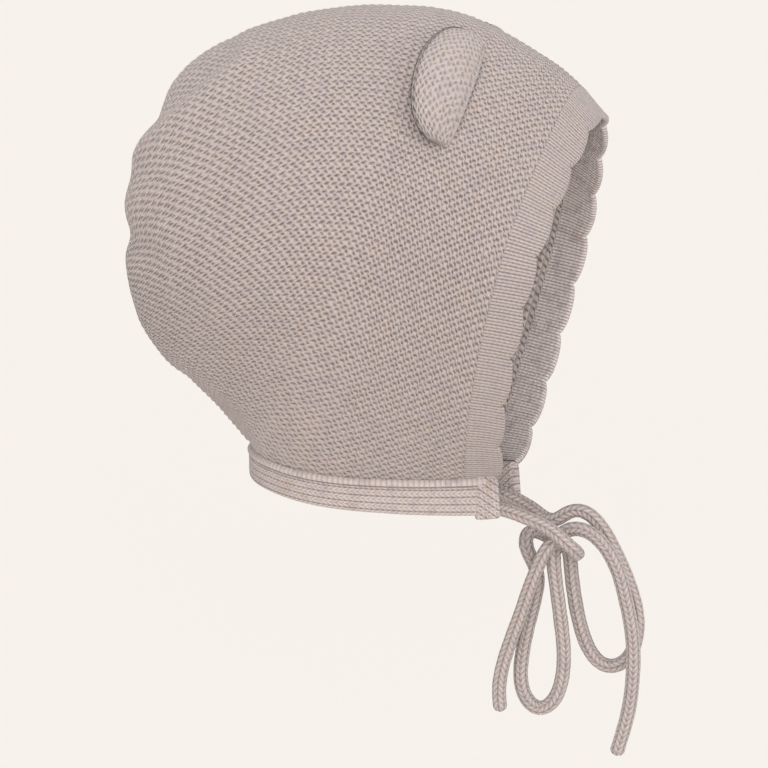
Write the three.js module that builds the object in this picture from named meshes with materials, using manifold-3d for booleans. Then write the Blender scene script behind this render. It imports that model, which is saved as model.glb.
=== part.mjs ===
// A knitted baby bonnet with two small round ears, a scalloped brim and cord ties.
// Millimetres. +Z is up, the face opening looks along -Y, and the wearer's right side is -X.
// The origin is the top of the head inside the crown, where the bonnet sits.

import * as THREE from 'three';
import { ParametricGeometry } from 'three/addons/geometries/ParametricGeometry.js';
import { mergeGeometries, mergeVertices } from 'three/addons/utils/BufferGeometryUtils.js';
import Module from 'manifold-3d';

const wasm = await Module();
wasm.setup();

// ---- Driving dimensions ----

const CROWN_WALL = 2.5;
const BRIM_WALL = 2.0;
const SEWN_GAP = 0.35;          // clearance left between pieces that are sewn together
const BRIM_EDGE_ROW = -4;       // the brim's edge, counted in garter ridges before the crown's first
const SCALLOPS_PER_SIDE = 9;
const SCALLOP_ROWS = 0.75;      // how far a scallop bulges past the brim's edge, in ridges
const NECK_BAND = { height: 11.2, thickness: 3.2, step: 0.5 };
const TAB = { height: 14, thickness: 4.4, length: 8.4 };
const EAR = { row: 14.6, low: 0.135, high: 0.385, height: 18, thickness: 6, lean: 52 };
const TIE_DIAMETER = 4.7;
const KNOT = { centre: [0, -57, -167.6], radii: [8.2, 6.8, 5.8] };

// Garter ridges run from one side of the neck over the head to the other. A row here is one of
// those ridges: the middle of its top, its widest point, and its foot at the neck or at the back.
// ridge is counted from the brim, and squeeze draws the upper arch in towards a point. How far
// apart a ridge's two feet are follows from the neck opening.
const ROW_COLUMNS = ['ridge', 'topY', 'topZ', 'sideY', 'sideZ', 'half', 'footY', 'footZ', 'squeeze'];
const CROWN_ROWS = [
  [-5.0, -72.0, -32.5, -57.5, -82, 46.0, -42.6, -146.5, 0.50],
  [0.0, -63.5, -22.5, -46.5, -80, 49.5, -31.0, -147.0, 0.45],
  [8.3, -50.0, -12.0, -31.0, -78, 53.0, -12.0, -147.0, 0.30],
  [17.3, -30.0, -1.6, -14.5, -76, 56.5, 13.0, -145.8, 0.20],
  [22.0, -18.0, 1.6, -5.0, -75, 58.0, 31.0, -143.0, 0.14],
  [25.3, -8.5, 2.5, 3.0, -74, 58.8, 43.0, -139.5, 0.10],
  [33.3, 13.0, 2.0, 22.5, -73, 57.6, 55.5, -128.0, 0.00],
  [42.0, 34.5, -2.4, 46.0, -70, 51.0, 69.0, -115.0, 0.00],
  [50.0, 54.0, -9.6, 66.5, -65, 38.5, 78.0, -101.5, 0.00],
  [56.7, 68.0, -20.5, 78.8, -60, 21.5, 82.0, -88.0, 0.00],
  [62.0, 75.5, -33.0, 82.8, -55, 0.0, 82.8, -76.0, 0.00],
].map((row) => Object.fromEntries(row.map((value, i) => [ROW_COLUMNS[i], value])));
const NECK = { half: 32.5, widestY: 8, backY: 43, frontNarrowing: 0.0066 };
const SIDE_SHARE = 0.58;        // the share of a ridge, from its top to its foot, above its widest point
const FIRST_RIDGE = 0.14;
const NAPE_RIDGE = 25.3;
const LAST_RIDGE = 62;

// Folds and dents of the worn crown, each along a line in the side view. A push is outwards, in
// millimetres, so a hollow is below zero. Both sides of the crown are alike.
const FOLDS = [
  { name: 'slanting fold', fromY: 76, fromZ: -46, toY: 40, toZ: -15, width: 5.5, push: 1.0 },
  { name: 'hollow above the slanting fold', fromY: 73, fromZ: -33, toY: 48, toZ: -13, width: 5.5, push: -1.8 },
  { name: 'bulge at the back of the head', fromY: 84, fromZ: -57, toY: 78, toZ: -59, width: 8, push: 2.2 },
  { name: 'dent under the bulge', fromY: 84, fromZ: -70, toY: 70, toZ: -74, width: 5, push: -1.6 },
  { name: 'pocket above the nape', fromY: 62, fromZ: -118, toY: 46, toZ: -131, width: 7, push: -1.4 },
  { name: 'pucker under the ear', fromY: -18, fromZ: -41, toY: -14, toZ: -50, width: 4.5, push: -1.0 },
];

// The routes of the two ties, from the band's end through the knot, round a bow loop, through
// the knot again and down to the free end. Chosen by hand.
const RIGHT_TIE = [
  [-13.4, -35.4, -156.6], [-10.2, -39.8, -157.4], [-9.9, -44.6, -158.7], [-9.8, -49.2, -160.4],
  [-8.6, -53.7, -162.4], [-7.6, -57.2, -164.8], [-7.3, -60.4, -167.6], [-5.4, -63.2, -170.6],
  [-1.0, -64.0, -172.6], [3.8, -61.4, -172.8], [7.2, -56.6, -170.6], [6.8, -51.4, -167.6],
  [3.4, -47.8, -166.0], [0.6, -46.4, -168.4], [0.4, -47.2, -172.4], [0.8, -49.4, -176.6],
  [1.0, -50.5, -181.4], [1.0, -49.6, -187.6], [0.9, -47.6, -195.8], [0.5, -45.8, -204.6],
  [0.0, -45.1, -213.2], [-0.1, -46.8, -220.0], [-0.5, -51.3, -223.6], [-1.0, -56.2, -220.6],
  [-1.5, -59.0, -213.4], [-1.8, -59.6, -204.0], [-2.1, -58.4, -192.4], [-2.3, -57.0, -181.8],
  [-2.3, -56.2, -174.8], [-1.8, -56.6, -169.6], [-1.5, -59.0, -165.8], [-1.7, -63.2, -164.2],
  [-2.1, -68.4, -165.6], [-2.4, -73.4, -170.4], [-2.6, -77.3, -177.6], [-2.8, -79.8, -186.4],
  [-3.0, -82.0, -197.4], [-3.0, -82.4, -209.0], [-3.0, -81.0, -222.4], [-3.0, -76.9, -237.4],
];
const LEFT_TIE = [
  [13.4, -35.2, -154.9], [10.2, -39.5, -156.0], [8.6, -44.2, -157.9], [6.4, -48.8, -160.2],
  [4.2, -52.6, -162.4], [3.2, -56.0, -162.6], [3.0, -59.0, -160.3], [3.0, -62.8, -158.8],
  [3.0, -67.0, -160.2], [3.0, -71.2, -164.6], [3.2, -75.2, -171.6], [3.4, -79.2, -180.4],
  [3.4, -82.2, -189.8], [3.2, -82.8, -197.8], [3.0, -80.6, -205.2], [3.0, -76.0, -209.2],
  [3.0, -70.8, -208.6], [3.0, -66.6, -203.4], [2.9, -63.9, -195.6], [2.7, -62.2, -187.0],
  [2.5, -61.2, -179.2], [1.8, -60.7, -172.8], [-0.6, -59.4, -168.9], [-3.6, -57.0, -168.0],
  [-5.2, -54.4, -170.8], [-5.2, -52.0, -175.6], [-5.0, -49.0, -183.2], [-4.7, -46.0, -192.0],
  [-4.4, -42.8, -200.6], [-4.2, -40.0, -209.4], [-4.0, -38.8, -217.0], [-4.0, -39.4, -224.4],
];
// Which points of a route belong to each stretch outside the knot.
const STRETCHES = {
  tie_right_lead: [RIGHT_TIE, 0, 5],
  tie_right_loop: [RIGHT_TIE, 11, 29],
  tie_right_tail: [RIGHT_TIE, 30, 39],
  tie_left_lead: [LEFT_TIE, 0, 5],
  tie_left_loop: [LEFT_TIE, 6, 22],
  tie_left_tail: [LEFT_TIE, 23, 31],
};
const TIE_SIDES = 8;
const TIE_STEP = 6.5;

// ---- Materials ----

const yarn = (color, roughness) => new THREE.MeshStandardMaterial({ color, roughness, metalness: 0 });
const GARTER = yarn(0xb9a9a2, 0.95);
const RIB = yarn(0xbcaca6, 0.95);
const CORD = yarn(0xbdada7, 0.95);

// ---- The crown's shape ----

// A column of CROWN_ROWS at any ridge, on a smooth curve through the rows.
function column(name, ridge) {
  const last = CROWN_ROWS.length - 2;
  let i = 0;
  while (i < last && ridge > CROWN_ROWS[i + 1].ridge) i += 1;
  const slopeAt = (k) => {
    const a = CROWN_ROWS[Math.max(k - 1, 0)];
    const b = CROWN_ROWS[Math.min(k + 1, CROWN_ROWS.length - 1)];
    return (b[name] - a[name]) / (b.ridge - a.ridge);
  };
  const a = CROWN_ROWS[i];
  const b = CROWN_ROWS[i + 1];
  const span = b.ridge - a.ridge;
  const t = (ridge - a.ridge) / span;
  const t2 = t * t;
  const t3 = t2 * t;
  return (2 * t3 - 3 * t2 + 1) * a[name] + (t3 - 2 * t2 + t) * span * slopeAt(i)
    + (3 * t2 - 2 * t3) * b[name] + (t3 - t2) * span * slopeAt(i + 1);
}

// The value at z of the smooth curve through three (z, y) pairs.
function throughThree(z, [z1, y1], [z2, y2], [z3, y3]) {
  return y1 * (z - z2) * (z - z3) / ((z1 - z2) * (z1 - z3))
    + y2 * (z - z1) * (z - z3) / ((z2 - z1) * (z2 - z3))
    + y3 * (z - z1) * (z - z2) / ((z3 - z1) * (z3 - z2));
}

// Half the neck opening's width: round at the back, narrowing towards the chin.
function neckHalf(y) {
  const behind = y - NECK.widestY;
  if (behind < 0) return NECK.half - NECK.frontNarrowing * behind * behind;
  return NECK.half * Math.sqrt(Math.max(1 - (behind / (NECK.backY - NECK.widestY)) ** 2, 0));
}

// A point of the bare head shape. share runs from -1 at the right foot of a ridge, over its top
// at 0, to 1 at the left foot.
function headPoint(ridge, share) {
  const half = Math.max(column('half', ridge), 0);
  const [topY, topZ] = [column('topY', ridge), column('topZ', ridge)];
  const [sideY, sideZ] = [column('sideY', ridge), column('sideZ', ridge)];
  const [footY, footZ] = [column('footY', ridge), column('footZ', ridge)];
  const footX = ridge >= NAPE_RIDGE ? 0 : neckHalf(footY);
  const footAngle = half > 0 ? Math.acos(footX / half) : Math.PI / 2;
  const above = Math.abs(share) < SIDE_SHARE;
  const angle = above ? Math.PI / 2 * (1 - Math.abs(share) / SIDE_SHARE)
    : -footAngle * (Math.abs(share) - SIDE_SHARE) / (1 - SIDE_SHARE);
  const [sine, cosine] = [Math.sin(angle), Math.max(Math.cos(angle), 0)];
  const pinch = above ? 1 - column('squeeze', ridge) * sine * sine * cosine : 1;
  const z = above ? sideZ + (topZ - sideZ) * sine : sideZ + (sideZ - footZ) * sine / Math.sin(footAngle);
  const y = throughThree(z, [topZ, topY], [sideZ, sideY], [footZ, footY]);
  const closes = Math.abs(share) === 1 && ridge >= NAPE_RIDGE;
  const x = closes || half === 0 ? 0 : Math.sign(share) * half * cosine * pinch;
  return new THREE.Vector3(x, y, z);
}

const HEAD_MIDDLE = new THREE.Vector3(0, 8, -72);

// The worn outer surface: the head shape with its folds pushed in or out from the head's middle.
function clothPoint(ridge, share) {
  const point = headPoint(ridge, share);
  let push = 0;
  for (const fold of FOLDS) {
    const run = [fold.toY - fold.fromY, fold.toZ - fold.fromZ];
    const reach = [point.y - fold.fromY, point.z - fold.fromZ];
    const along = (reach[0] * run[0] + reach[1] * run[1]) / (run[0] ** 2 + run[1] ** 2);
    const t = Math.min(Math.max(along, 0), 1);
    const away = Math.hypot(reach[0] - t * run[0], reach[1] - t * run[1]);
    push += fold.push * Math.exp(-((away / fold.width) ** 2));
  }
  const outwards = point.clone().sub(HEAD_MIDDLE).normalize();
  if (point.x === 0) outwards.x = 0;
  return point.addScaledVector(outwards, push);
}

// The outwards direction of the cloth.
function clothNormal(ridge, share) {
  const [dRidge, dShare] = [0.2, 0.005];
  const alongRows = clothPoint(ridge + dRidge, share).sub(clothPoint(ridge - dRidge, share));
  const overHead = clothPoint(ridge, share + dShare).sub(clothPoint(ridge, share - dShare));
  return alongRows.cross(overHead).normalize().negate();
}

// The inner face of a wall: drawn in sideways, down from the top and forwards from the back, so
// that the wall keeps its edges level at the face and the neck.
const REACH = { x: 58.5, back: 75, top: 74.5 };
function innerPoint(point, wall) {
  const inner = point.clone();
  inner.x *= 1 - wall / REACH.x;
  if (point.y > HEAD_MIDDLE.y) inner.y -= (point.y - HEAD_MIDDLE.y) * wall / REACH.back;
  if (point.z > HEAD_MIDDLE.z) inner.z -= (point.z - HEAD_MIDDLE.z) * wall / REACH.top;
  return inner;
}

// ---- Building closed walls from patches ----

// A patch of surface. place(u, v) gives a point, with u and v from 0 to 1.
function patch(place, uSteps, vSteps) {
  return new ParametricGeometry((u, v, target) => target.copy(place(u, v)), uSteps, vSteps);
}

// Joins patches whose edges meet into one closed skin and drops triangles that have collapsed.
function weld(patches) {
  const joined = mergeGeometries(patches);
  joined.deleteAttribute('normal');
  joined.deleteAttribute('uv');
  const welded = mergeVertices(joined, 1e-3);
  const kept = [];
  const index = welded.index.array;
  for (let i = 0; i < index.length; i += 3) {
    const [a, b, c] = [index[i], index[i + 1], index[i + 2]];
    if (a !== b && b !== c && c !== a) kept.push(a, b, c);
  }
  welded.setIndex(kept);
  return welded;
}

const mix = (a, b, t) => a + (b - a) * t;

// Rows from the brim to the seam, with one exactly at the nape, where the neck opening ends.
const FRONT_STEPS = 10;
const BACK_STEPS = 13;
const OVER_STEPS = 36;
const ridgeAt = {
  front: (v) => mix(FIRST_RIDGE, NAPE_RIDGE, Math.sin(Math.PI / 2 * v)),
  back: (v) => mix(NAPE_RIDGE, LAST_RIDGE, v),
};
const shareAt = (u) => mix(-1, 1, u);

function crownGeometry() {
  const outer = (ridge, share) => clothPoint(ridge, share);
  const inner = (ridge, share) => innerPoint(clothPoint(ridge, share), CROWN_WALL);
  const patches = [];
  for (const [steps, rows] of [[FRONT_STEPS, ridgeAt.front], [BACK_STEPS, ridgeAt.back]]) {
    patches.push(patch((u, v) => outer(rows(v), shareAt(u)), OVER_STEPS, steps));
    patches.push(patch((u, v) => inner(rows(v), shareAt(1 - u)), OVER_STEPS, steps));
  }
  const across = (ridge, share, t) => outer(ridge, share).lerp(inner(ridge, share), t);
  patches.push(patch((u, v) => across(FIRST_RIDGE, shareAt(u), 1 - v), OVER_STEPS, 1));
  patches.push(patch((u, v) => across(ridgeAt.front(v), -1, 1 - u), 1, FRONT_STEPS));
  patches.push(patch((u, v) => across(ridgeAt.front(v), 1, u), 1, FRONT_STEPS));
  return weld(patches);
}

// ---- The brim ----

// Shares of a ridge at equal steps of length along the brim's edge, from one foot to the other.
function evenShares(ridge, steps) {
  const fine = 240;
  const lengths = [0];
  for (let i = 1; i <= fine; i += 1) {
    const [a, b] = [headPoint(ridge, mix(-1, 1, (i - 1) / fine)), headPoint(ridge, mix(-1, 1, i / fine))];
    lengths.push(lengths[i - 1] + a.distanceTo(b));
  }
  const shares = [];
  let j = 0;
  for (let i = 0; i <= steps; i += 1) {
    const wanted = lengths[fine] * i / steps;
    while (j < fine - 1 && lengths[j + 1] < wanted) j += 1;
    const t = (wanted - lengths[j]) / (lengths[j + 1] - lengths[j]);
    shares.push(mix(-1, 1, (j + t) / fine));
  }
  return shares;
}

const STEPS_PER_SCALLOP = 5;
const BRIM_STEPS = 2 * SCALLOPS_PER_SIDE * STEPS_PER_SCALLOP;
const BRIM_ROOT_RIDGE = -0.02;

function brimGeometry() {
  const shares = evenShares(BRIM_EDGE_ROW, BRIM_STEPS);
  const outer = (step, depth) => {
    const bulge = Math.abs(Math.sin(Math.PI * step / STEPS_PER_SCALLOP)) ** 0.6;
    const edge = BRIM_EDGE_ROW - SCALLOP_ROWS * bulge;
    return headPoint(mix(BRIM_ROOT_RIDGE, edge, depth), shares[step]);
  };
  const inner = (step, depth) => innerPoint(outer(step, depth), BRIM_WALL);
  const across = (step, depth, t) => outer(step, depth).lerp(inner(step, depth), t);
  const stepAt = (u) => Math.round(u * BRIM_STEPS);
  return weld([
    patch((u, v) => outer(stepAt(1 - u), v), BRIM_STEPS, 2),
    patch((u, v) => inner(stepAt(u), v), BRIM_STEPS, 2),
    patch((u, v) => across(stepAt(u), 0, v), BRIM_STEPS, 1),
    patch((u, v) => across(stepAt(u), 1, 1 - v), BRIM_STEPS, 1),
    patch((u, v) => across(0, v, u), 1, 2),
    patch((u, v) => across(BRIM_STEPS, v, 1 - u), 1, 2),
  ]);
}

// ---- The neck band and its turned-back ends ----

// The line along which the crown and brim end at the neck, from the right front corner round
// the nape to the left front corner.
function neckLine() {
  const right = [];
  const corner = BRIM_EDGE_ROW - 0.4;
  const steps = 22;
  for (let i = 0; i <= steps; i += 1) {
    const ease = Math.sin(Math.PI / 2 * i / steps);
    const ridge = mix(corner, NAPE_RIDGE, ease);
    right.push(headPoint(ridge, -1));
  }
  const left = right.slice(0, -1).reverse().map((p) => new THREE.Vector3(-p.x, p.y, p.z));
  return new THREE.CatmullRomCurve3([...right, ...left]);
}
const NECK_LINE = neckLine();
const NECK_LENGTH = NECK_LINE.getLength();

// A flat knitted strip hung under the neck line between two distances along it.
function stripGeometry(from, to, steps, height, thickness, drop) {
  const corner = thickness * 0.3;
  const [hw, hh] = [thickness / 2, height / 2];
  const section = [
    [hw, -hh + corner], [hw, hh - corner], [hw - corner, hh], [-hw + corner, hh],
    [-hw, hh - corner], [-hw, -hh + corner], [-hw + corner, -hh], [hw - corner, -hh],
  ];
  const down = new THREE.Vector3(0, 0, -1);
  const place = (along, k) => {
    const at = mix(from, to, along) / NECK_LENGTH;
    const outwards = NECK_LINE.getTangentAt(at).setZ(0).normalize().cross(down);
    const middle = NECK_LINE.getPointAt(at).addScaledVector(down, drop + height / 2);
    middle.addScaledVector(outwards, NECK_BAND.step - CROWN_WALL / 2);
    const [out, rise] = section[k % section.length];
    return middle.addScaledVector(outwards, out).addScaledVector(down, -rise);
  };
  const sides = section.length;
  const kAt = (u) => Math.round(u * sides);
  const middleOf = (along) => place(along, 0).lerp(place(along, 5), 0.5);
  return weld([
    patch((u, v) => place(v, kAt(u)), sides, steps),
    patch((u, v) => middleOf(0).lerp(place(0, kAt(u)), v), sides, 1),
    patch((u, v) => middleOf(1).lerp(place(1, kAt(1 - u)), v), sides, 1),
  ]);
}

// ---- The ears ----

// An ear is a double layer of knitting: a flap with a round outline, sewn along a ridge of the
// crown and leaning to the back, its front hollowed a little.
function earGeometry(side) {
  const alongSteps = 14;
  const around = 10;
  const lean = THREE.MathUtils.degToRad(EAR.lean);
  const place = (along, turn) => {
    const share = side * mix(EAR.low, EAR.high, along);
    const outline = Math.sin(Math.PI * mix(0.02, 0.98, along)) ** 0.55;
    const base = headPoint(EAR.row, share);
    const outwards = clothNormal(EAR.row, share);
    const backwards = headPoint(EAR.row + 2, share).sub(headPoint(EAR.row - 2, share)).normalize();
    const height = EAR.height * outline;
    const half = EAR.thickness / 2 * (0.55 + 0.45 * outline);
    const angle = Math.PI * turn;
    const rise = Math.sin(angle) ** 0.75;
    const tilt = lean * (0.55 + 0.6 * rise);
    const up = outwards.clone().multiplyScalar(Math.cos(tilt)).addScaledVector(backwards, Math.sin(tilt));
    const face = backwards.clone().multiplyScalar(Math.cos(tilt)).addScaledVector(outwards, -Math.sin(tilt));
    return base.addScaledVector(up, height * rise).addScaledVector(face, -half * Math.cos(angle));
  };
  const flip = (u) => (side < 0 ? u : 1 - u);
  const sole = (along, across) => place(along, 0).lerp(place(along, 1), across)
    .addScaledVector(clothNormal(EAR.row, side * mix(EAR.low, EAR.high, along)), -4);
  const wall = (along, turn) => {
    if (turn < 0) return sole(along, 0);
    if (turn > 1) return sole(along, 1);
    return place(along, turn);
  };
  const turnAt = (u) => mix(-1 / around, 1 + 1 / around, u);
  const steps = around + 2;
  const cap = (along, u, v) => {
    const low = wall(along, turnAt(v / 2));
    const high = wall(along, turnAt(1 - v / 2));
    return low.lerp(high, u);
  };
  return weld([
    patch((u, v) => wall(v, turnAt(flip(u))), steps, alongSteps),
    patch((u, v) => sole(v, flip(1 - u)), 1, alongSteps),
    patch((u, v) => cap(0, flip(u), v), 1, steps / 2),
    patch((u, v) => cap(1, flip(1 - u), v), 1, steps / 2),
  ]);
}

// ---- Solids that are cut against their neighbours ----

function toSolid(geometry) {
  return new wasm.Manifold(new wasm.Mesh({
    numProp: 3,
    vertProperties: new Float32Array(geometry.attributes.position.array),
    triVerts: new Uint32Array(geometry.index.array),
  }));
}

function toGeometry(solid) {
  const pieces = solid.decompose();
  pieces.sort((a, b) => b.volume() - a.volume());
  const mesh = pieces[0].getMesh();
  const geometry = new THREE.BufferGeometry();
  geometry.setAttribute('position', new THREE.BufferAttribute(new Float32Array(mesh.vertProperties), 3));
  geometry.setIndex(new THREE.BufferAttribute(new Uint32Array(mesh.triVerts), 1));
  return geometry;
}

// The head's filled shape a little outside the cloth, which the ears are cut with.
function headFilled(clearance) {
  const outer = (ridge, share) => {
    const at = Math.min(Math.max(ridge, FIRST_RIDGE), LAST_RIDGE);
    const point = clothPoint(at, share);
    return point.sub(HEAD_MIDDLE).multiplyScalar(1 + clearance / 60).add(HEAD_MIDDLE);
  };
  const centre = HEAD_MIDDLE.clone();
  return weld([
    patch((u, v) => outer(ridgeAt.front(v), shareAt(u)), OVER_STEPS, FRONT_STEPS),
    patch((u, v) => outer(ridgeAt.back(v), shareAt(u)), OVER_STEPS, BACK_STEPS),
    patch((u, v) => centre.clone().lerp(outer(FIRST_RIDGE, shareAt(u)), v), OVER_STEPS, 1),
    patch((u, v) => centre.clone().lerp(outer(ridgeAt.front(v), -1), u), 1, FRONT_STEPS),
    patch((u, v) => centre.clone().lerp(outer(ridgeAt.front(v), 1), 1 - u), 1, FRONT_STEPS),
  ]);
}

// A round tie along part of a route.
function tieGeometry(route, first, last, diameter) {
  const curve = new THREE.CatmullRomCurve3(route.map((p) => new THREE.Vector3(...p)), false, 'centripetal');
  const stretch = new THREE.Curve();
  const [from, to] = [first / (route.length - 1), last / (route.length - 1)];
  stretch.getPoint = (t) => curve.getPoint(mix(from, to, t));
  const section = new THREE.Shape();
  for (let i = 0; i < TIE_SIDES; i += 1) {
    const angle = 2 * Math.PI * i / TIE_SIDES;
    const [x, y] = [diameter / 2 * Math.cos(angle), diameter / 2 * Math.sin(angle)];
    if (i === 0) section.moveTo(x, y);
    else section.lineTo(x, y);
  }
  const steps = Math.max(Math.round(stretch.getLength() / TIE_STEP), 3);
  return weld([new THREE.ExtrudeGeometry(section, { steps, extrudePath: stretch, bevelEnabled: false })]);
}

function knotGeometry(grow) {
  const ball = new THREE.IcosahedronGeometry(1, 2);
  ball.scale(...KNOT.radii.map((r) => r + grow));
  ball.translate(...KNOT.centre);
  return weld([ball]);
}

// ---- Assembly ----

const bonnet = new THREE.Group();
function add(name, geometry, material) {
  const mesh = new THREE.Mesh(geometry, material);
  mesh.name = name;
  bonnet.add(mesh);
}

add('crown', crownGeometry(), GARTER);
add('brim_band', brimGeometry(), RIB);

const tabEnd = TAB.length + SEWN_GAP;
const bandSteps = 34;
add('neck_band', stripGeometry(tabEnd, NECK_LENGTH - tabEnd, bandSteps, NECK_BAND.height,
  NECK_BAND.thickness, SEWN_GAP), RIB);
add('band_tab_right', stripGeometry(0, TAB.length, 2, TAB.height, TAB.thickness, SEWN_GAP), RIB);
add('band_tab_left', stripGeometry(NECK_LENGTH - TAB.length, NECK_LENGTH, 2, TAB.height,
  TAB.thickness, SEWN_GAP), RIB);

const head = toSolid(headFilled(SEWN_GAP));
for (const [name, side] of [['ear_right', -1], ['ear_left', 1]]) {
  add(name, toGeometry(toSolid(earGeometry(side)).subtract(head)), RIB);
}

add('bow_knot', knotGeometry(0), CORD);
const tabs = [0, NECK_LENGTH - TAB.length].map((from) => toSolid(stripGeometry(from, from + TAB.length, 2,
  TAB.height + 2 * SEWN_GAP, TAB.thickness + 2 * SEWN_GAP, 0)));
let taken = toSolid(knotGeometry(SEWN_GAP)).add(tabs[0]).add(tabs[1]);
for (const [name, [route, first, last]] of Object.entries(STRETCHES)) {
  const stretch = toSolid(tieGeometry(route, first, last, TIE_DIAMETER)).subtract(taken);
  add(name, toGeometry(stretch), CORD);
  taken = taken.add(toSolid(tieGeometry(route, first, last, TIE_DIAMETER + 2 * SEWN_GAP)));
}

export default bonnet;
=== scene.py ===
import math

import bmesh
import bpy
from mathutils import Matrix, Vector, noise


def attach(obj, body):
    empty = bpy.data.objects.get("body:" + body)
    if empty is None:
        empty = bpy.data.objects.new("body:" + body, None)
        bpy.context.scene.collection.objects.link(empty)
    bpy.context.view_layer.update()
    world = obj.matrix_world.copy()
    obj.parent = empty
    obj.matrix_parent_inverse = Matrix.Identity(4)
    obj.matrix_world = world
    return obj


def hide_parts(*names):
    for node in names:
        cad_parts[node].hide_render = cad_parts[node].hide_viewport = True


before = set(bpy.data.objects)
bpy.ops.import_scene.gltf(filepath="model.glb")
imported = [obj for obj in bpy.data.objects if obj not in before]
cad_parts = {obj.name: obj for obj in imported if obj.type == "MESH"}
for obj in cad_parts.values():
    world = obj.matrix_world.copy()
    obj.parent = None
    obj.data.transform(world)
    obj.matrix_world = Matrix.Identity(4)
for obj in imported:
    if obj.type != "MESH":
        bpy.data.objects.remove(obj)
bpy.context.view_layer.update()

MM = 0.001

# ---- Camera: six degrees above level, seen from the wearer's right ----

CAMERA_YAW = math.radians(12.5)       # turned forwards from the pure side view
CAMERA_ELEVATION = math.radians(6)
CAMERA_DISTANCE = 1.5
CAMERA_TARGET = Vector((-0.01212, -0.00269, -0.11807))
CAMERA_LENS = 219.7


def add_camera():
    forward = Vector((math.cos(CAMERA_ELEVATION) * math.cos(CAMERA_YAW),
                      math.cos(CAMERA_ELEVATION) * math.sin(CAMERA_YAW),
                      -math.sin(CAMERA_ELEVATION)))
    camera = bpy.data.objects.new("camera", bpy.data.cameras.new("camera"))
    bpy.context.collection.objects.link(camera)
    camera.data.lens = CAMERA_LENS
    camera.data.sensor_width = 36
    camera.data.clip_end = 200
    turn = forward.to_track_quat("-Z", "Y").to_matrix().to_4x4()
    camera.matrix_world = Matrix.Translation(CAMERA_TARGET - CAMERA_DISTANCE * forward) @ turn
    bpy.context.scene.camera = camera


add_camera()


# ---- Surfaces: a grid whose points are moved to where a function puts them ----

def surface(name, place, u_steps, v_steps, uv, flip=False):
    """A piece from place(u, v) in metres, with u and v from 0 to 1. uv(u, v) counts its stitches."""
    mesh = bpy.data.meshes.new(name)
    bm = bmesh.new()
    bmesh.ops.create_grid(bm, x_segments=u_steps, y_segments=v_steps, size=0.5)
    layer = bm.loops.layers.uv.new("stitches")
    for vert in bm.verts:
        u, v = vert.co.x + 0.5, vert.co.y + 0.5
        for loop in vert.link_loops:
            loop[layer].uv = uv(u, v)
        vert.co = place(u, v)
    bmesh.ops.remove_doubles(bm, verts=bm.verts, dist=2e-6)
    bmesh.ops.dissolve_degenerate(bm, edges=bm.edges, dist=1e-7)
    if flip:
        bmesh.ops.reverse_faces(bm, faces=bm.faces)
    for face in bm.faces:
        face.smooth = True
    bm.to_mesh(mesh)
    bm.free()
    piece = bpy.data.objects.new(name, mesh)
    bpy.context.collection.objects.link(piece)
    return piece


def mix(a, b, t):
    return a + (b - a) * t


# ---- The ties: routes in millimetres, from the band's end to the free end ----

TIE_DIAMETER = 0.0047
RIGHT_TIE = [
    (-13.4, -35.4, -156.6), (-10.2, -39.8, -157.4), (-9.9, -44.6, -158.7), (-9.8, -49.2, -160.4),
    (-8.6, -53.7, -162.4), (-7.6, -57.2, -164.8), (-7.3, -60.4, -167.6), (-5.4, -63.2, -170.6),
    (-1.0, -64.0, -172.6), (3.8, -61.4, -172.8), (7.2, -56.6, -170.6), (6.8, -51.4, -167.6),
    (3.4, -47.8, -166.0), (0.6, -46.4, -168.4), (0.4, -47.2, -172.4), (0.8, -49.4, -176.6),
    (1.0, -50.5, -181.4), (1.0, -49.6, -187.6), (0.9, -47.6, -195.8), (0.5, -45.8, -204.6),
    (0.0, -45.1, -213.2), (-0.1, -46.8, -220.0), (-0.5, -51.3, -223.6), (-1.0, -56.2, -220.6),
    (-1.5, -59.0, -213.4), (-1.8, -59.6, -204.0), (-2.1, -58.4, -192.4), (-2.3, -57.0, -181.8),
    (-2.3, -56.2, -174.8), (-1.8, -56.6, -169.6), (-1.5, -59.0, -165.8), (-1.7, -63.2, -164.2),
    (-2.1, -68.4, -165.6), (-2.4, -73.4, -170.4), (-2.6, -77.3, -177.6), (-2.8, -79.8, -186.4),
    (-3.0, -82.0, -197.4), (-3.0, -82.4, -209.0), (-3.0, -81.0, -222.4), (-3.0, -76.9, -237.4),
]
LEFT_TIE = [
    (13.4, -35.2, -154.9), (10.2, -39.5, -156.0), (8.6, -44.2, -157.9), (6.4, -48.8, -160.2),
    (4.2, -52.6, -162.4), (3.2, -56.0, -162.6), (3.0, -59.0, -160.3), (3.0, -62.8, -158.8),
    (3.0, -67.0, -160.2), (3.0, -71.2, -164.6), (3.2, -75.2, -171.6), (3.4, -79.2, -180.4),
    (3.4, -82.2, -189.8), (3.2, -82.8, -197.8), (3.0, -80.6, -205.2), (3.0, -76.0, -209.2),
    (3.0, -70.8, -208.6), (3.0, -66.6, -203.4), (2.9, -63.9, -195.6), (2.7, -62.2, -187.0),
    (2.5, -61.2, -179.2), (1.8, -60.7, -172.8), (-0.6, -59.4, -168.9), (-3.6, -57.0, -168.0),
    (-5.2, -54.4, -170.8), (-5.2, -52.0, -175.6), (-5.0, -49.0, -183.2), (-4.7, -46.0, -192.0),
    (-4.4, -42.8, -200.6), (-4.2, -40.0, -209.4), (-4.0, -38.8, -217.0), (-4.0, -39.4, -224.4),
]


SLACKENING = 14             # how often a line's points are eased between their neighbours


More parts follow.
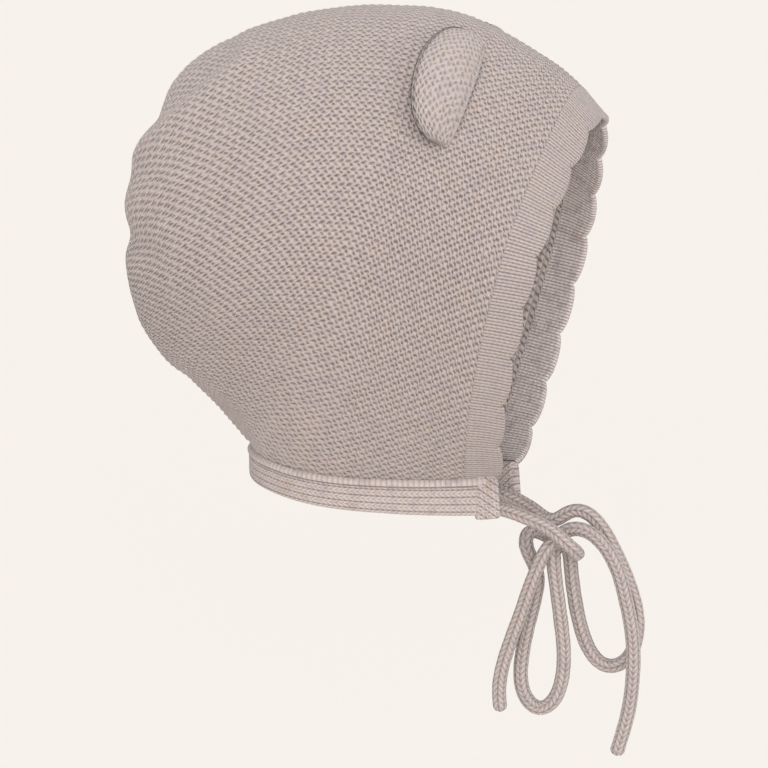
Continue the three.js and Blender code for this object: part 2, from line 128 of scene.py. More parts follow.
def smooth_route(points, step):
    """Evenly spaced points in metres along an eased line through the points, and its length."""
    knots = [Vector(p) * MM for p in points]
    knots = [knots[0] * 2 - knots[1], *knots, knots[-1] * 2 - knots[-2]]
    fine = []
    for a, b, c, d in zip(knots, knots[1:], knots[2:], knots[3:]):
        for i in range(16):
            t = i / 16
            fine.append(0.5 * (2 * b + (c - a) * t + (2 * a - 5 * b + 4 * c - d) * t * t
                               + (3 * b - a - 3 * c + d) * t ** 3))
    fine.append(knots[-2])
    lengths = [0.0]
    for a, b in zip(fine, fine[1:]):
        lengths.append(lengths[-1] + (b - a).length)
    count = max(int(lengths[-1] / step), 8)
    even, j = [], 0
    for i in range(count + 1):
        wanted = lengths[-1] * i / count
        while j < len(fine) - 2 and lengths[j + 1] < wanted:
            j += 1
        t = (wanted - lengths[j]) / max(lengths[j + 1] - lengths[j], 1e-9)
        even.append(fine[j].lerp(fine[j + 1], min(t, 1)))
    for _ in range(SLACKENING):
        even[1:-1] = [(a + b * 2 + c) / 4 for a, b, c in zip(even, even[1:], even[2:])]
    return even, sum((b - a).length for a, b in zip(even, even[1:]))


def carried_frames(line, first_side):
    """At each point of a line: its direction and two sides, carried along without twisting."""
    sides, side = [], first_side
    for i in range(len(line)):
        along = (line[min(i + 1, len(line) - 1)] - line[max(i - 1, 0)]).normalized()
        side = (side - along * side.dot(along)).normalized()
        sides.append((along, side, along.cross(side)))
    return sides


TIE_AROUND = 24
TIE_COLUMNS = 4             # columns of V stitches round the cord
TIE_ROW = 0.0019            # a V stitch's length along the cord
TIE_STEP = 0.0007


def tie(name, route):
    line, length = smooth_route(route, TIE_STEP)
    frames = carried_frames(line, Vector((-1, 0, 0)))
    last = len(line) - 1
    radius = TIE_DIAMETER / 2

    def place(u, v):
        i = min(round(v * last), last)
        angle = -2 * math.pi * u
        from_end = (last - i) / last * length
        ends = math.sqrt(max(1 - (1 - min(from_end / radius, 1)) ** 2, 0))
        uneven = 1 + 0.035 * noise.noise(line[i] * 260) + 0.02 * noise.noise(line[i] * 900)
        column = abs(math.cos(angle * TIE_COLUMNS / 2))
        size = radius * ends * uneven * (1 - 0.07 * column ** 6)
        _, side, other = frames[i]
        return line[i] + (side * math.cos(angle) + other * math.sin(angle)) * size

    piece = surface(name, place, TIE_AROUND, last,
                    uv=lambda u, v: (u * TIE_COLUMNS, v * length / TIE_ROW))
    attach(piece, "root")
    [tuple(p) for p in line[:-2:3] + [line[-1]]]
    return piece


tie_right = tie("tie_right", RIGHT_TIE)
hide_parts("tie_right_lead", "tie_right_loop", "tie_right_tail", "bow_knot")
tie_left = tie("tie_left", LEFT_TIE)
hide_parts("tie_left_lead", "tie_left_loop", "tie_left_tail")


# ---- The crown's shape ----

# Garter ridges run from one side of the neck over the head to the other. Each row here is a
# ridge, counted from the brim: its top, its widest point, its foot, and how far the upper arch
# is squeezed in. Millimetres.
ROW_COLUMNS = ("ridge", "topY", "topZ", "sideY", "sideZ", "half", "footY", "footZ", "squeeze")
CROWN_ROWS = [dict(zip(ROW_COLUMNS, row)) for row in (
    (-5.0, -72.0, -32.5, -57.5, -82, 46.0, -42.6, -146.5, 0.50),
    (0.0, -63.5, -22.5, -46.5, -80, 49.5, -31.0, -147.0, 0.45),
    (8.3, -50.0, -12.0, -31.0, -78, 53.0, -12.0, -147.0, 0.30),
    (17.3, -30.0, -1.6, -14.5, -76, 56.5, 13.0, -145.8, 0.20),
    (22.0, -18.0, 1.6, -5.0, -75, 58.0, 31.0, -143.0, 0.14),
    (25.3, -8.5, 2.5, 3.0, -74, 58.8, 43.0, -139.5, 0.10),
    (33.3, 13.0, 2.0, 22.5, -73, 57.6, 55.5, -128.0, 0.00),
    (42.0, 34.5, -2.4, 46.0, -70, 51.0, 69.0, -115.0, 0.00),
    (50.0, 54.0, -9.6, 66.5, -65, 38.5, 78.0, -101.5, 0.00),
    (56.7, 68.0, -20.5, 78.8, -60, 21.5, 82.0, -88.0, 0.00),
    (62.0, 75.5, -33.0, 82.8, -55, 0.0, 82.8, -76.0, 0.00),
)]
NECK_HALF, NECK_WIDEST_Y, NECK_BACK_Y, NECK_NARROWING = 32.5, 8, 43, 0.0066
SIDE_SHARE = 0.58
NAPE_RIDGE = 25.3
FIRST_RIDGE, LAST_RIDGE = -0.1, 62
HEAD_MIDDLE = Vector((0, 8, -72))
FOLDS = (       # from y, z to y, z in the side view, width, and outwards push
    (76, -46, 40, -15, 5.0, 1.9),        # slanting fold
    (73, -33, 48, -13, 5.0, -2.5),       # hollow above it
    (84, -57, 78, -59, 8, 0.5),          # bulge at the back of the head
    (84, -70, 68, -75, 5, -1.9),         # dent under the bulge
    (76, -60, 58, -52, 4.5, 1.0),        # soft roll beside the bulge
    (76, -80, 74, -98, 6, 0.6),          # fullness under the dent
    (62, -118, 46, -131, 6, -2.2),       # pocket above the nape
    (-18, -41, -14, -50, 4.5, -1.0),     # pucker under the ear
)


def row_at(ridge):
    """The columns of CROWN_ROWS at any ridge, on a smooth curve through the rows."""
    i = 0
    while i < len(CROWN_ROWS) - 2 and ridge > CROWN_ROWS[i + 1]["ridge"]:
        i += 1
    a, b = CROWN_ROWS[i], CROWN_ROWS[i + 1]
    before, after = CROWN_ROWS[max(i - 1, 0)], CROWN_ROWS[min(i + 2, len(CROWN_ROWS) - 1)]
    span = b["ridge"] - a["ridge"]
    t = (ridge - a["ridge"]) / span
    h1, h2 = 2 * t ** 3 - 3 * t * t + 1, (t ** 3 - 2 * t * t + t) * span
    h3, h4 = 3 * t * t - 2 * t ** 3, (t ** 3 - t * t) * span
    row = {}
    for name in ROW_COLUMNS[1:]:
        slope_a = (b[name] - before[name]) / (b["ridge"] - before["ridge"])
        slope_b = (after[name] - a[name]) / (after["ridge"] - a["ridge"])
        row[name] = h1 * a[name] + h2 * slope_a + h3 * b[name] + h4 * slope_b
    return row


def neck_half(y):
    behind = y - NECK_WIDEST_Y
    if behind < 0:
        return NECK_HALF - NECK_NARROWING * behind * behind
    return NECK_HALF * math.sqrt(max(1 - (behind / (NECK_BACK_Y - NECK_WIDEST_Y)) ** 2, 0))


ROWS_KNOWN = {}


def head_point(ridge, share):
    """A point of the bare head in millimetres. share is -1 at a ridge's right foot, 0 at its top."""
    key = round(ridge, 4)
    if key not in ROWS_KNOWN:
        ROWS_KNOWN[key] = row_at(ridge)
    row = ROWS_KNOWN[key]
    half = max(row["half"], 0)
    foot_x = 0 if ridge >= NAPE_RIDGE else neck_half(row["footY"])
    foot_angle = math.acos(min(foot_x / half, 1)) if half > 0 else math.pi / 2
    away = abs(share)
    above = away < SIDE_SHARE
    angle = (math.pi / 2 * (1 - away / SIDE_SHARE) if above
             else -foot_angle * (away - SIDE_SHARE) / (1 - SIDE_SHARE))
    sine, cosine = math.sin(angle), max(math.cos(angle), 0)
    top, side, foot = row["topZ"], row["sideZ"], row["footZ"]
    z = side + (top - side) * sine if above else side + (side - foot) * sine / math.sin(foot_angle)
    y = (row["topY"] * (z - side) * (z - foot) / ((top - side) * (top - foot))
         + row["sideY"] * (z - top) * (z - foot) / ((side - top) * (side - foot))
         + row["footY"] * (z - top) * (z - side) / ((foot - top) * (foot - side)))
    pinch = 1 - row["squeeze"] * sine * sine * cosine if above else 1
    closes = away == 1 and ridge >= NAPE_RIDGE
    x = 0 if closes else math.copysign(1, share) * half * cosine * pinch
    return Vector((x, y, z))


def cloth_point(ridge, share):
    """The worn outer surface, with its folds and its softness, in millimetres."""
    point = head_point(ridge, share)
    push = 0
    for y1, z1, y2, z2, width, depth in FOLDS:
        run_y, run_z, y, z = y2 - y1, z2 - z1, point.y - y1, point.z - z1
        t = min(max((y * run_y + z * run_z) / (run_y ** 2 + run_z ** 2), 0), 1)
        away = (y - t * run_y) ** 2 + (z - t * run_z) ** 2
        push += depth * math.exp(-away / width ** 2)
    softness = max(min(ridge / 6, (1 - abs(share)) * 8, 1), 0)
    push += 0.45 * softness * noise.noise(point * 0.055) + 0.12 * softness * noise.noise(point * 0.21)
    return point + (point - HEAD_MIDDLE).normalized() * push


STITCH = 2.5                # a garter stitch's length along its ridge, in millimetres
CROWN_WALL = 2.4
CROWN_OVER = 176
CROWN_ALONG = 248
RUN_STEPS = 60              # steps in which a ridge's length is summed
RIDGE_RELIEF = 0.2


def crown():
    def ridge_at(v):
        return mix(FIRST_RIDGE, LAST_RIDGE, v)

    def place(u, v):
        ridge = ridge_at(v)
        share = mix(-1, 1, u)
        point = cloth_point(ridge, share)
        relief = RIDGE_RELIEF * math.cos(2 * math.pi * ridge) * min(max(ridge, 0), 1)
        return (point + (point - HEAD_MIDDLE).normalized() * relief) * MM

    lengths = {}

    def uv(u, v):
        ridge = ridge_at(v)
        key = round(v, 4)
        if key not in lengths:
            run = [0.0]
            previous = head_point(ridge, 0)
            for i in range(1, RUN_STEPS + 1):
                point = head_point(ridge, i / RUN_STEPS)
                run.append(run[-1] + (point - previous).length)
                previous = point
            lengths[key] = run
        away = abs(mix(-1, 1, u)) * RUN_STEPS
        i = min(int(away), RUN_STEPS - 1)
        run = mix(lengths[key][i], lengths[key][i + 1], away - i)
        return ridge, math.copysign(run, u - 0.5) / STITCH

    return surface("crown_knit", place, CROWN_OVER, CROWN_ALONG, uv)


crown_knit = crown()


# ---- The brim ----

BRIM_EDGE_ROW = -4
SCALLOPS = 18
SCALLOP_ROWS = 0.75
BRIM_WALL = 2.0
BRIM_WIDTH = 10.5
BRIM_RIB, BRIM_STITCH = 2.1, 1.5
BRIM_FACE = 0.44            # the share of the brim's section that each of its two faces takes


def even_shares(ridge, steps):
    """Shares of a ridge at equal steps of length, and its whole length in millimetres."""
    fine = 720                  # points at which the ridge is measured
    points = [head_point(ridge, mix(-1, 1, i / fine)) for i in range(fine + 1)]
    lengths = [0.0]
    for a, b in zip(points, points[1:]):
        lengths.append(lengths[-1] + (b - a).length)
    shares, j = [], 0
    for i in range(steps + 1):
        wanted = lengths[-1] * i / steps
        while j < fine - 1 and lengths[j + 1] < wanted:
            j += 1
        shares.append(mix(-1, 1, (j + (wanted - lengths[j]) / (lengths[j + 1] - lengths[j])) / fine))
    return shares, lengths[-1]


def normal_at(ridge, share):
    share = min(max(share, -0.995), 0.995)
    rows = head_point(ridge + 0.2, share) - head_point(ridge - 0.2, share)
    over = head_point(ridge, share + 0.004) - head_point(ridge, share - 0.004)
    return over.cross(rows).normalized()


def brim():
    steps = SCALLOPS * 24
    shares, length = even_shares(BRIM_EDGE_ROW, steps)

    def depth_at(v):
        """How far from root to edge, and how far through the wall, round the brim's section."""
        if v <= BRIM_FACE:
            return v / BRIM_FACE, 0.0
        if v >= 1 - BRIM_FACE:
            return (1 - v) / BRIM_FACE, 1.0
        return 1.0, (v - BRIM_FACE) / (1 - 2 * BRIM_FACE)

    def place(u, v):
        step = round(u * steps)
        bulge = abs(math.sin(math.pi * step / (steps / SCALLOPS))) ** 0.55
        edge = BRIM_EDGE_ROW - SCALLOP_ROWS * bulge
        depth, through = depth_at(v)
        turn = math.pi * through
        ridge = mix(0.3, edge, depth)
        point = head_point(ridge, shares[step])
        normal = normal_at(ridge, shares[step])
        forward = (head_point(ridge - 0.3, shares[step]) - point).normalized()
        half = BRIM_WALL / 2 * (1 + 0.1 * math.sin(9 * depth) * (1 - depth))
        swell = 0.35 * bulge * depth ** 3 - 0.3 * (1 - min(depth * 9, 1))
        point = point + normal * (half * math.cos(turn) - BRIM_WALL / 2 + swell)
        return (point + forward * half * 0.9 * math.sin(turn)) * MM

    def uv(u, v):
        depth, through = depth_at(v)
        return u * length / BRIM_RIB, (depth * BRIM_WIDTH + through * BRIM_WALL) / BRIM_STITCH

    return surface("brim_knit", place, steps, 36, uv, flip=True)


brim_knit = brim()


# ---- The neck band and its turned-back ends ----

BAND_HEIGHT = 11.2
BAND_FLARE = 0.12             # how much taller the band is at the front than in its middle
BAND_THICKNESS = 3.2
BAND_STEP = 0.5
BAND_ROLL = 2.6               # height of the plain roll at the band's upper edge
BAND_RIB, BAND_STITCH = 2.2, 1.7
TAB_HEIGHT, TAB_THICKNESS, TAB_LENGTH = 14.4, 4.4, 8.4
TAB_COVER = 0.6               # the share of a tab's length that the band leaves to it


def neck_line():
    right = [head_point(mix(BRIM_EDGE_ROW - 0.4, NAPE_RIDGE, math.sin(math.pi / 2 * i / 22)), -1)
             for i in range(23)]
    left = [Vector((-p.x, p.y, p.z)) for p in reversed(right[:-1])]
    return smooth_route([tuple(p) for p in right + left], 0.0006)


NECK_POINTS, NECK_LENGTH = neck_line()
NECK_FRAMES = []
for i in range(len(NECK_POINTS)):
    along = NECK_POINTS[min(i + 2, len(NECK_POINTS) - 1)] - NECK_POINTS[max(i - 2, 0)]
    along.z = 0
    NECK_FRAMES.append(along.normalized().cross(Vector((0, 0, -1))))


def neck_at(distance):
    """The neck line's point and outwards direction at a distance along it, in metres."""
    at = min(max(distance / NECK_LENGTH, 0), 1) * (len(NECK_POINTS) - 1)
    i = min(int(at), len(NECK_POINTS) - 2)
    point = NECK_POINTS[i].lerp(NECK_POINTS[i + 1], at - i)
    return point, NECK_FRAMES[i].lerp(NECK_FRAMES[i + 1], at - i).normalized()


def rounded(angle, half_out, half_up, power):
    """A point of a rounded oblong section."""
    cosine, sine = math.cos(angle), math.sin(angle)
    return (math.copysign(abs(cosine) ** power, cosine) * half_out,
            math.copysign(abs(sine) ** power, sine) * half_up)


def neck_band():
    start = TAB_LENGTH * TAB_COVER * MM
    end = NECK_LENGTH - start

    def place(u, v):
        point, outwards = neck_at(mix(start, end, v))
        out, up = rounded(2 * math.pi * u, BAND_THICKNESS / 2, BAND_HEIGHT / 2, 0.42)
        if out > 0:
            height = up + BAND_HEIGHT / 2
            roll = math.exp(-((height - BAND_HEIGHT + 1.5) / 1.25) ** 2)
            ribs = abs(math.sin(math.pi * height / 2.05)) if height < BAND_HEIGHT - BAND_ROLL else 0
            out += 0.75 * roll + 0.2 * ribs
        soft = 0.25 * noise.noise(point * 90)
        flare = 1 + BAND_FLARE * (2 * abs(2 * v - 1) ** 2 - 1)
        drop = (up - BAND_HEIGHT / 2) * flare + 0.7
        return (point + outwards * (out + BAND_STEP - CROWN_WALL / 2 + soft) * MM
                + Vector((0, 0, drop * MM)))

    def uv(u, v):
        _, up = rounded(2 * math.pi * u, BAND_THICKNESS / 2, BAND_HEIGHT / 2, 0.42)
        stitches = mix(start, end, v) / MM / BAND_STITCH
        if up > BAND_HEIGHT / 2 - BAND_ROLL:
            return 0.25, stitches
        return up / BAND_RIB + 20, stitches

    return surface("neck_band_knit", place, 64, 420, uv)


neck_band_knit = neck_band()


def tab(name, side):
    def place(u, v):
        along = mix(0, TAB_LENGTH, v)
        distance = along * MM if side < 0 else NECK_LENGTH - along * MM
        point, outwards = neck_at(distance)
        rim = min(along, TAB_LENGTH - along) / 1.6
        ends = math.sqrt(max(1 - (1 - min(rim, 1)) ** 2, 0))
        angle = 2 * math.pi * u * side
        out, up = rounded(angle, TAB_THICKNESS / 2 * ends, TAB_HEIGHT / 2 * (0.9 + 0.1 * ends), 0.5)
        lean = -0.8 * up / TAB_HEIGHT
        forward = outwards.cross(Vector((0, 0, 1))) * lean * side
        middle = point + Vector((0, 0, -(TAB_HEIGHT / 2 - 1.3) * MM))
        push = BAND_STEP - CROWN_WALL / 2 + (0.5 - up / TAB_HEIGHT) * 0.5
        return middle + (outwards * (out + push) + forward + Vector((0, 0, up))) * MM

    def uv(u, v):
        _, up = rounded(2 * math.pi * u, 1, TAB_HEIGHT / 2, 0.5)
        along = v * TAB_LENGTH
        return (up * 0.8 + along * 0.6) / 2.1, (along * 0.8 - up * 0.6) / 1.7

    return surface(name, place, 48, 22, uv)


tab_right = tab("band_tab_right_knit", -1)
tab_left = tab("band_tab_left_knit", 1)


# ---- The ears ----

EAR_ROW, EAR_LOW, EAR_HIGH = 14.6, 0.135, 0.385
EAR_HEIGHT, EAR_THICKNESS, EAR_LEAN = 17.5, 6.4, math.radians(54)
EAR_HOLLOW, EAR_SPREAD, EAR_STITCH = 1.7, 6.0, 2.2


def ear(name, side):
    """A double flap with a round outline, sewn along a ridge and leaning back, its front hollowed."""
    def place(u, v):
        share = side * mix(EAR_LOW, EAR_HIGH, v)
        outline = max(math.sin(math.pi * v), 0) ** 0.4
        base = head_point(EAR_ROW, share)
        outwards = normal_at(EAR_ROW, share)
        backwards = (head_point(EAR_ROW + 2, share) - head_point(EAR_ROW - 2, share)).normalized()
        along = (head_point(EAR_ROW, share + side * 0.01)
                 - head_point(EAR_ROW, share - side * 0.01)).normalized()
        angle = math.pi * u
        rise = math.sin(angle) ** 0.75
        tilt = EAR_LEAN * (0.55 + 0.6 * rise)
        up = outwards * math.cos(tilt) + backwards * math.sin(tilt)
        face = backwards * math.cos(tilt) - outwards * math.sin(tilt)
        half = EAR_THICKNESS / 2 * outline ** 0.8
        hollow = EAR_HOLLOW * outline * max(math.sin(angle), 0) ** 2 * (1 if u < 0.5 else -0.18)
        spread = (v - 0.5) * EAR_SPREAD * rise * outline
        height = EAR_HEIGHT * mix(0.88, 1.2, v) * outline * rise
        point = base + up * height - face * half * math.cos(angle)
        soft = 0.3 * noise.noise(point * 0.16)
        return (point + face * hollow + along * spread + outwards * (soft - 0.6)) * MM

    def uv(u, v):
        return v * 40 / EAR_STITCH, u * 42 / EAR_STITCH

    return surface(name, place, 56, 64, uv, flip=side < 0)


ear_right = ear("ear_right_knit", -1)
ear_left = ear("ear_left_knit", 1)


# ---- Materials ----

def shader_group(name, inputs, outputs):
    """A node group with float, vector or colour inputs and outputs."""
    kinds = {"f": "NodeSocketFloat", "v": "NodeSocketVector", "c": "NodeSocketColor"}
    group = bpy.data.node_groups.new(name, "ShaderNodeTree")
    for label, kind, value in inputs:
        socket = group.interface.new_socket(label, in_out="INPUT", socket_type=kinds[kind])
        if value is not None:
            socket.default_value = value
    for label, kind in outputs:
        group.interface.new_socket(label, in_out="OUTPUT", socket_type=kinds[kind])
    return group


class Wires:
    """Short calls for adding nodes to a tree and joining them."""

    def __init__(self, tree):
        self.tree = tree

    def node(self, kind, **settings):
        made = self.tree.nodes.new(kind)
        for key, value in settings.items():
            setattr(made, key, value)
        return made

    def feed(self, socket, value):
        if isinstance(value, bpy.types.NodeSocket):
            self.tree.links.new(value, socket)
        else:
            socket.default_value = value

    def math(self, operation, *values, clamp=False):
        made = self.node("ShaderNodeMath", operation=operation, use_clamp=clamp)
        for socket, value in zip(made.inputs, values):
            self.feed(socket, value)
        return made.outputs[0]

    def noise(self, vector, scale, detail=2.0, roughness=0.5):
        made = self.node("ShaderNodeTexNoise")
        self.feed(made.inputs["Vector"], vector)
        made.inputs["Scale"].default_value = scale
        made.inputs["Detail"].default_value = detail
        made.inputs["Roughness"].default_value = roughness
        return made.outputs["Fac"]

    def mapped(self, value, low, high, to_low=0.0, to_high=1.0):
        made = self.node("ShaderNodeMapRange")
        for socket, given in zip(made.inputs, (value, low, high, to_low, to_high)):
            self.feed(socket, given)
        return made.outputs[0]

    def blend(self, amount, a, b):
        made = self.node("ShaderNodeMix", data_type="RGBA")
        self.feed(made.inputs["Factor"], amount)
        self.feed(made.inputs["A"], a)
        self.feed(made.inputs["B"], b)
        return made.outputs["Result"]


def garter_group():
    """Holes on a staggered lattice, tilted one way and the other, and ridges. Counts of stitches in."""
    group = shader_group("garter_stitch", [("Stitches", "v", None), ("Unevenness", "f", 0.1)],
                         [("Height", "f"), ("Hole", "f")])
    w = Wires(group)
    given = w.node("NodeGroupInput")
    split = w.node("ShaderNodeSeparateXYZ")
    w.feed(split.inputs[0], given.outputs["Stitches"])
    drift_u = w.math("SUBTRACT", w.noise(given.outputs["Stitches"], 0.9), 0.5)
    shifted = w.node("ShaderNodeVectorMath", operation="ADD")
    w.feed(shifted.inputs[0], given.outputs["Stitches"])
    shifted.inputs[1].default_value = (31.7, 12.9, 5.1)
    drift_v = w.math("SUBTRACT", w.noise(shifted.outputs[0], 0.9), 0.5)
    u = w.math("MULTIPLY_ADD", drift_u, given.outputs["Unevenness"], split.outputs[0])
    v = w.math("MULTIPLY_ADD", drift_v, given.outputs["Unevenness"], split.outputs[1])
    holes = []
    for offset, tilt in ((0.0, 0.3), (0.5, -0.3)):
        across = w.math("SUBTRACT", w.math("FRACT", w.math("ADD", u, offset)), 0.5)
        along = w.math("SUBTRACT", w.math("FRACT", w.math("ADD", v, offset)), 0.5)
        slanted = w.math("MULTIPLY_ADD", across, tilt, along)
        wide = w.math("POWER", w.math("DIVIDE", w.math("ABSOLUTE", across), 0.25), 2.0)
        tall = w.math("POWER", w.math("DIVIDE", w.math("ABSOLUTE", slanted), 0.145), 2.0)
        holes.append(w.math("EXPONENT", w.math("MULTIPLY", w.math("ADD", wide, tall), -1.0)))
    strength = w.mapped(w.noise(shifted.outputs[0], 1.7), 0.3, 0.6, 0.62, 1.0)
    hole = w.math("MULTIPLY", w.math("ADD", holes[0], holes[1], clamp=True), strength)
    wave_u = w.math("COSINE", w.math("MULTIPLY", u, 2 * math.pi))
    wave_v = w.math("COSINE", w.math("MULTIPLY", v, 2 * math.pi))
    ridge = w.math("MULTIPLY", wave_u, 0.3)
    beads = w.math("MULTIPLY", w.math("MULTIPLY", wave_u, wave_v), -0.35)
    height = w.math("SUBTRACT", w.math("ADD", ridge, beads), hole)
    given_out = w.node("NodeGroupOutput")
    w.feed(given_out.inputs["Height"], height)
    w.feed(given_out.inputs["Hole"], hole)
    return group


def columns_group():
    """Knit columns of V stitches. X counts columns and Y counts stitches along them."""
    group = shader_group("knit_columns",
                         [("Stitches", "v", None), ("Slant", "f", 1.1), ("Rows", "f", 0.5),
                          ("Centre", "f", 0.65)],
                         [("Height", "f"), ("Hole", "f")])
    w = Wires(group)
    given = w.node("NodeGroupInput")
    split = w.node("ShaderNodeSeparateXYZ")
    w.feed(split.inputs[0], given.outputs["Stitches"])
    drift = w.math("MULTIPLY", w.math("SUBTRACT", w.noise(given.outputs["Stitches"], 1.1), 0.5), 0.35)
    within = w.math("SUBTRACT", w.math("FRACT", split.outputs[0]), 0.5)
    out = w.math("ABSOLUTE", within)
    along = w.math("MULTIPLY_ADD", out, given.outputs["Slant"], w.math("ADD", split.outputs[1], drift))
    leg = w.math("ABSOLUTE", w.math("SINE", w.math("MULTIPLY", along, math.pi)))
    between = w.math("POWER", w.math("MULTIPLY", out, 2.0), 6.0)
    from_centre = w.math("POWER", w.math("DIVIDE", out, 0.085), 2.0)
    centre = w.math("EXPONENT", w.math("MULTIPLY", from_centre, -1.0))
    gap = w.math("POWER", w.math("SUBTRACT", 1.0, leg), 2.0)
    groove = w.math("MAXIMUM", w.math("MULTIPLY", between, 0.9),
                    w.math("MULTIPLY", centre, given.outputs["Centre"]))
    hole = w.math("ADD", w.math("MULTIPLY", gap, given.outputs["Rows"]),
                  w.math("MULTIPLY", groove, 0.65), clamp=True)
    height = w.math("SUBTRACT", w.math("MULTIPLY", leg, given.outputs["Rows"]), groove)
    given_out = w.node("NodeGroupOutput")
    w.feed(given_out.inputs["Height"], height)
    w.feed(given_out.inputs["Hole"], hole)
    return group


def melange_group():
    """Heathered yarn: warm beige, pinkish and lilac-grey fibres, and painted shade that darkens the
    stitch holes.
    """
    group = shader_group("melange_yarn",
                         [("Position", "v", None), ("Hole", "f", 0.0), ("Base", "c", None),
                          ("Depth", "f", 0.5)],
                         [("Colour", "c"), ("Fibre", "f")])
    w = Wires(group)
    given = w.node("NodeGroupInput")
    place = given.outputs["Position"]
    base = given.outputs["Base"]
    lilac = w.mapped(w.noise(place, 260, 3.0, 0.6), 0.5, 0.72)
    warm = w.mapped(w.noise(place, 190, 3.0, 0.6), 0.47, 0.3)
    fibre = w.noise(place, 1900, 3.0, 0.7)
    pale = w.mapped(fibre, 0.53, 0.72)
    colour = w.blend(w.math("MULTIPLY", lilac, 0.75), base, (0.43, 0.375, 0.40, 1))
    colour = w.blend(w.math("MULTIPLY", warm, 0.65), colour, (0.54, 0.44, 0.385, 1))
    colour = w.blend(w.math("MULTIPLY", pale, 0.55), colour, (0.72, 0.66, 0.63, 1))
    # painted shade: the stitch holes are blended towards dark brown, standing in for the shade inside
    # them
    painted_hole_shade = w.math("MULTIPLY", given.outputs["Hole"], given.outputs["Depth"])
    colour = w.blend(painted_hole_shade, colour, (0.17, 0.12, 0.10, 1))
    given_out = w.node("NodeGroupOutput")
    w.feed(given_out.inputs["Colour"], colour)
    w.feed(given_out.inputs["Fibre"], fibre)
    return group


GARTER = garter_group()
COLUMNS = columns_group()
MELANGE = melange_group()
FUZZ_SHEEN = (0.56, 0.495, 0.475, 1)       # painted sheen: a paler colour where the cloth turns away, for the light caught by fibres standing proud


def knit(name, pattern, base, depth, relief, settings):
    """A yarn material: its stitch pattern, base colour, how dark the painted shade in its holes is, and
    its relief.
    """
    material = bpy.data.materials.new(name)
    material.use_nodes = True
    tree = material.node_tree
    tree.nodes.clear()
    w = Wires(tree)
    stitches = w.node("ShaderNodeUVMap", uv_map="stitches")
    place = w.node("ShaderNodeTexCoord")
    stitch = w.node("ShaderNodeGroup", node_tree=pattern)
    w.feed(stitch.inputs["Stitches"], stitches.outputs["UV"])
    for label, value in settings:
        stitch.inputs[label].default_value = value
    yarn = w.node("ShaderNodeGroup", node_tree=MELANGE)
    w.feed(yarn.inputs["Position"], place.outputs["Object"])
    w.feed(yarn.inputs["Hole"], stitch.outputs["Hole"])
    yarn.inputs["Base"].default_value = (*base, 1)
    yarn.inputs["Depth"].default_value = depth
    height = w.math("MULTIPLY_ADD", yarn.outputs["Fibre"], 0.5, stitch.outputs["Height"])
    bump = w.node("ShaderNodeBump")
    bump.inputs["Strength"].default_value = 1.0
    bump.inputs["Distance"].default_value = relief
    w.feed(bump.inputs["Height"], height)
    shader = w.node("ShaderNodeBsdfPrincipled")
    # painted sheen: the yarn colour is paled where the surface turns away from view
    facing = w.node("ShaderNodeLayerWeight")
    facing.inputs["Blend"].default_value = 0.5
    painted_rim_sheen = w.math("MULTIPLY", w.math("POWER", facing.outputs["Facing"], 2.6), 0.75, clamp=True)
    w.feed(shader.inputs["Base Color"], w.blend(painted_rim_sheen, yarn.outputs["Colour"], FUZZ_SHEEN))
    shader.inputs["Roughness"].default_value = 0.95
    shader.inputs["Specular IOR Level"].default_value = 0.12
    shader.inputs["Sheen Weight"].default_value = 0.35
    shader.inputs["Sheen Roughness"].default_value = 0.45
    shader.inputs["Sheen Tint"].default_value = (0.93, 0.88, 0.85, 1)
    w.feed(shader.inputs["Normal"], bump.outputs["Normal"])
    output = w.node("ShaderNodeOutputMaterial")
    w.feed(output.inputs["Surface"], shader.outputs["BSDF"])
    return material


CROWN_STITCHES = [("Unevenness", 0.45)]
BRIM_STITCHES = [("Slant", 0.9), ("Rows", 0.25)]
garter_knit = knit("garter_knit", GARTER, (0.525, 0.441, 0.419), 0.95, 0.0006, CROWN_STITCHES)
# painted light: the inner faces of the crown and the brim get paler copies of the same yarn, with less
# painted hole shade, standing in for light reaching inside
garter_inside_painted_light = knit("garter_inside_painted_light", GARTER, (0.68, 0.59, 0.565), 0.7, 0.0005, CROWN_STITCHES)
brim_rib = knit("brim_rib", COLUMNS, (0.52, 0.44, 0.42), 0.85, 0.0006, BRIM_STITCHES)
brim_inside_painted_light = knit("brim_inside_painted_light", COLUMNS, (0.78, 0.69, 0.665), 0.7, 0.0006, BRIM_STITCHES)
band_rib = knit("band_rib", COLUMNS, (0.63, 0.54, 0.513), 0.65, 0.0006,
                [("Slant", 1.5), ("Rows", 0.5), ("Centre", 0.25)])
ear_knit = knit("ear_knit", GARTER, (0.51, 0.438, 0.418), 0.6, 0.00045, [("Unevenness", 0.6)])
cord_knit = knit("cord_knit", COLUMNS, (0.55, 0.472, 0.45), 0.60, 0.0006, [("Slant", 1.7), ("Rows", 0.6)])


# ---- Putting the pieces together ----

def thicken_crown():
    wall = crown_knit.modifiers.new("wall", "SOLIDIFY")
    wall.thickness = CROWN_WALL * MM
    wall.offset = -1
    wall.use_even_offset = False
    wall.material_offset = 1


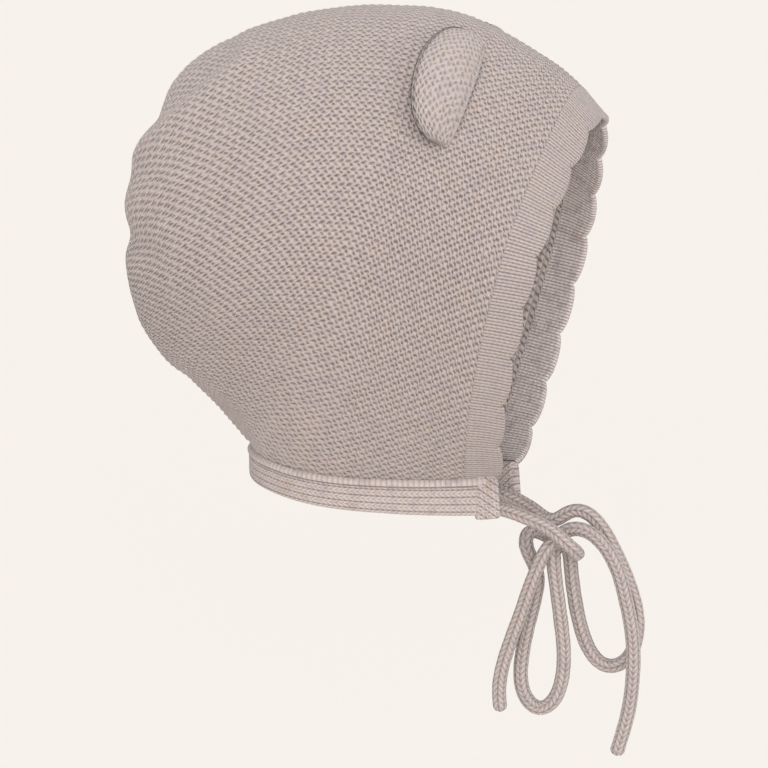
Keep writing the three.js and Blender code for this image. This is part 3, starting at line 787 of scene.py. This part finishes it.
thicken_crown()
for piece, nodes, slot, material in (
        (crown_knit, ["crown"], "garter_knit", garter_knit),
        (brim_knit, ["brim_band"], "rib_knit", brim_rib),
        (neck_band_knit, ["neck_band"], "rib_knit", band_rib),
        (tab_right, ["band_tab_right"], "rib_knit", band_rib),
        (tab_left, ["band_tab_left"], "rib_knit", band_rib),
        (ear_right, ["ear_right"], "ear_knit", ear_knit),
        (ear_left, ["ear_left"], "ear_knit", ear_knit)):
    piece.data.materials.append(material)
    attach(piece, "root")
    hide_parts(*nodes)
for piece in (tie_right, tie_left):
    piece.data.materials.append(cord_knit)
# the inner faces take the paler copies of the yarn: painted light
crown_knit.data.materials.append(garter_inside_painted_light)
brim_knit.data.materials.append(brim_inside_painted_light)
for face in brim_knit.data.polygons:
    middle = face.center / MM
    if face.normal.dot(middle - Vector((0, middle.y, HEAD_MIDDLE.z))) < 0:
        face.material_index = 1


# ---- Floor, light and look ----

PALE = (0.93, 0.888, 0.839, 1)
FLOOR_DROP, FLOOR_HALF = 0.6, 70


def add_floor():
    mesh = bpy.data.meshes.new("floor")
    bm = bmesh.new()
    bmesh.ops.create_grid(bm, x_segments=1, y_segments=1, size=FLOOR_HALF)
    bmesh.ops.translate(bm, verts=bm.verts, vec=(0, 0, -FLOOR_DROP))
    bm.to_mesh(mesh)
    bm.free()
    floor = bpy.data.objects.new("floor", mesh)
    bpy.context.collection.objects.link(floor)
    material = bpy.data.materials.new("floor")
    material.use_nodes = True
    shader = material.node_tree.nodes["Principled BSDF"]
    shader.inputs["Base Color"].default_value = (0.872, 0.836, 0.797, 1)
    shader.inputs["Emission Color"].default_value = PALE
    shader.inputs["Emission Strength"].default_value = 0.06
    shader.inputs["Roughness"].default_value = 1
    shader.inputs["Specular IOR Level"].default_value = 0
    mesh.materials.append(material)


def add_sun(name, direction, strength, spread):
    light = bpy.data.objects.new(name, bpy.data.lights.new(name, "SUN"))
    bpy.context.collection.objects.link(light)
    light.data.energy = strength
    light.data.angle = math.radians(spread)
    light.rotation_euler = Vector(direction).to_track_quat("-Z", "Y").to_euler()


add_floor()
add_sun("key", (0.45, 0.1, -0.88), 1.35, 60)
add_sun("fill", (0.97, 0.215, -0.105), 1.08, 12)
add_sun("face_fill", (0.5, 0.8, -0.15), 0.45, 40)
world = bpy.data.worlds.new("studio")
bpy.context.scene.world = world
world.use_nodes = True
background = world.node_tree.nodes["Background"]
wires = Wires(world.node_tree)
seen = wires.node("ShaderNodeLightPath").outputs["Is Camera Ray"]
wires.feed(background.inputs["Color"], wires.blend(seen, (0.56, 0.552, 0.541, 1), PALE))
background.inputs["Strength"].default_value = 1.0
bpy.context.scene.view_settings.view_transform = "Standard"
